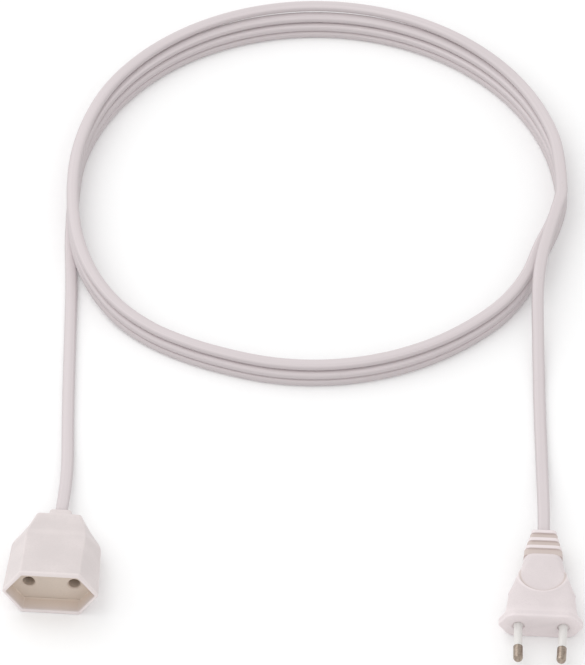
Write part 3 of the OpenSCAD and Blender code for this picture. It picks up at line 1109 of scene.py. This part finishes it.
def add_camera(target):
    heading = math.radians(4)
    dip = math.radians(49)
    distance = 2.77
    view = bpy.data.cameras.new("camera")
    view.lens = 349.4
    view.sensor_width = 36
    view.clip_end = 50
    ahead = Vector((-math.sin(heading) * math.cos(dip), math.cos(heading) * math.cos(dip), -math.sin(dip)))
    camera = bpy.data.objects.new("camera", view)
    camera.location = target - distance * ahead
    camera.rotation_euler = ahead.to_track_quat("-Z", "Y").to_euler()
    bpy.context.scene.collection.objects.link(camera)
    bpy.context.scene.camera = camera


class EXTCORD_OT_cord(bpy.types.Operator):
    """Sweeps the flat cord from the coupler, round the coil, to the plug"""
    bl_idname = "extcord.cord"
    bl_label = "Flat cord"

    def execute(self, context):
        cord = context.scene.extcord_cord
        path = cord_path(cord)[0]
        piece = loft("flat_cord", cord_rings(path, cord))
        material = sheath_plastic("sheath_pvc", context.scene.extcord_finish.cord)
        dress(piece, material)
        finish_nodes(material, ["socket_sheath_end", "plug_sheath_end"])
        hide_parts("cord_tail_socket", "cord_coil", "cord_tail_plug")
        return {"FINISHED"}


class EXTCORD_OT_coupler(bpy.types.Operator):
    """Moulds the coupler's housing, its collar and its insert"""
    bl_idname = "extcord.coupler"
    bl_label = "Coupler"

    def execute(self, context):
        coupler = context.scene.extcord_coupler
        finish = context.scene.extcord_finish
        # The housing's painted shade in the recess is a paler copy of the insert's colour.
        shell = moulded_plastic("coupler_pvc", finish.housing, scaled(finish.insert, 1.18), 0.44)
        housing = dress(make_housing(coupler), shell)
        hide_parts("socket_housing")
        collar = dress(make_collar(coupler, context.scene.extcord_cord), shell)
        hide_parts("socket_collar")
        # The insert's colour carries painted shade of the recess besides its own beige.
        hard = moulded_plastic("insert_thermoset", finish.insert, scaled(finish.insert, 0.9), 0.5, 2400.0)
        insert = dress(make_insert(coupler), hard)
        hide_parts("contact_carrier")
        finish_nodes(hard, ["carrier_cap"])
        return {"FINISHED"}


class EXTCORD_OT_plug(bpy.types.Operator):
    """Moulds the plug's body and its ribbed strain relief"""
    bl_idname = "extcord.plug"
    bl_label = "Plug body"

    def execute(self, context):
        plug = context.scene.extcord_plug
        finish = context.scene.extcord_finish
        # The plug's painted shade colour goes into the grooves and onto the grip's wall.
        material = moulded_plastic("plug_pvc", finish.plug, finish.groove_shade, 0.4)
        body = dress(make_plug_body(plug), material)
        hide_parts("plug_body")
        ribs = dress(make_plug_ribs(context.scene.extcord_cord, plug), material)
        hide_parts("plug_strain_relief")
        return {"FINISHED"}


class EXTCORD_OT_pins(bpy.types.Operator):
    """Turns the pins and fits their insulating sleeves"""
    bl_idname = "extcord.pins"
    bl_label = "Pins"

    def execute(self, context):
        plug = context.scene.extcord_plug
        metal = turned_metal("pin_nickel", (0.42, 0.35, 0.29), (0.2, 0.15, 0.12))
        white = moulded_plastic("sleeve_plastic", (0.75, 0.73, 0.71), (0.6, 0.5, 0.42), 0.32, 2600.0)
        for side, word in SIDES.items():
            pin = dress(make_pin(side, plug), metal)
            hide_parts("pin_" + word)
            sleeve = dress(make_pin_sleeve(side), white)
            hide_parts("pin_sleeve_" + word)
        return {"FINISHED"}


class EXTCORD_OT_inner(bpy.types.Operator):
    """Gives the inner pieces their finishes"""
    bl_idname = "extcord.inner"
    bl_label = "Inner pieces"

    def execute(self, context):
        brass = turned_metal("contact_brass", (0.78, 0.58, 0.28), (0.4, 0.27, 0.12))
        finish_nodes(brass, ["contact_left", "contact_right"])
        hard = moulded_plastic("bridge_thermoset", (0.6, 0.52, 0.46), (0.5, 0.42, 0.36), 0.5)
        finish_nodes(hard, ["pin_bridge"])
        strands = stranded_copper("strand_copper")
        blue = core_plastic("core_blue", (0.05, 0.15, 0.42))
        brown = core_plastic("core_brown", (0.16, 0.07, 0.03))
        for end in ("socket", "plug"):
            finish_nodes(strands, [end + "_strands_left", end + "_strands_right"])
            finish_nodes(blue, [end + "_core_left"])
            finish_nodes(brown, [end + "_core_right"])
        return {"FINISHED"}


class EXTCORD_OT_declare(bpy.types.Operator):
    """Works out the cord's middle line and length, and gathers the plug's pieces that ride on the cord"""
    bl_idname = "extcord.declare"
    bl_label = "Declare the cord"

    def execute(self, context):
        cord = context.scene.extcord_cord
        path, length = cord_path(cord)
        made = ["plug_moulding", "plug_ribs"]
        for word in SIDES.values():
            made += ["plug_pin_" + word, "plug_pin_sleeve_" + word]
        on_cord = [bpy.data.objects[name] for name in made]
        on_cord += [frame["nodes"][name] for name in PLUG_NODES_KEPT]
        return {"FINISHED"}


class EXTCORD_PT_panel(bpy.types.Panel):
    """Lists the extension cord's pieces and sizes"""
    bl_idname = "EXTCORD_PT_panel"
    bl_label = "Extension Cord"
    bl_space_type = "VIEW_3D"
    bl_region_type = "UI"
    bl_category = "Extension Cord"

    def draw(self, context):
        for operator in OPERATORS:
            self.layout.operator(operator.bl_idname)
        for name, group in SETTINGS.items():
            box = self.layout.box()
            box.label(text=group.__doc__)
            for key in group.__annotations__:
                box.prop(getattr(context.scene, name), key)


SETTINGS = {
    "extcord_cord": CordSettings,
    "extcord_coupler": CouplerSettings,
    "extcord_plug": PlugSettings,
    "extcord_finish": FinishSettings,
}
OPERATORS = [
    EXTCORD_OT_stage, EXTCORD_OT_cord, EXTCORD_OT_coupler, EXTCORD_OT_plug, EXTCORD_OT_pins,
    EXTCORD_OT_inner, EXTCORD_OT_declare,
]


def register():
    for group in SETTINGS.values():
        bpy.utils.register_class(group)
    for name, group in SETTINGS.items():
        setattr(bpy.types.Scene, name, PointerProperty(type=group))
    for kind in OPERATORS:
        bpy.utils.register_class(kind)
    bpy.utils.register_class(EXTCORD_PT_panel)


def unregister():
    bpy.utils.unregister_class(EXTCORD_PT_panel)
    for kind in reversed(OPERATORS):
        bpy.utils.unregister_class(kind)
    for name, group in SETTINGS.items():
        delattr(bpy.types.Scene, name)
        bpy.utils.unregister_class(group)


def main():
    register()
    bpy.ops.extcord.stage()
    bpy.ops.extcord.cord()
    bpy.ops.extcord.coupler()
    bpy.ops.extcord.plug()
    bpy.ops.extcord.pins()
    bpy.ops.extcord.inner()
    bpy.ops.extcord.declare()


if __name__ == "__main__":
    main()
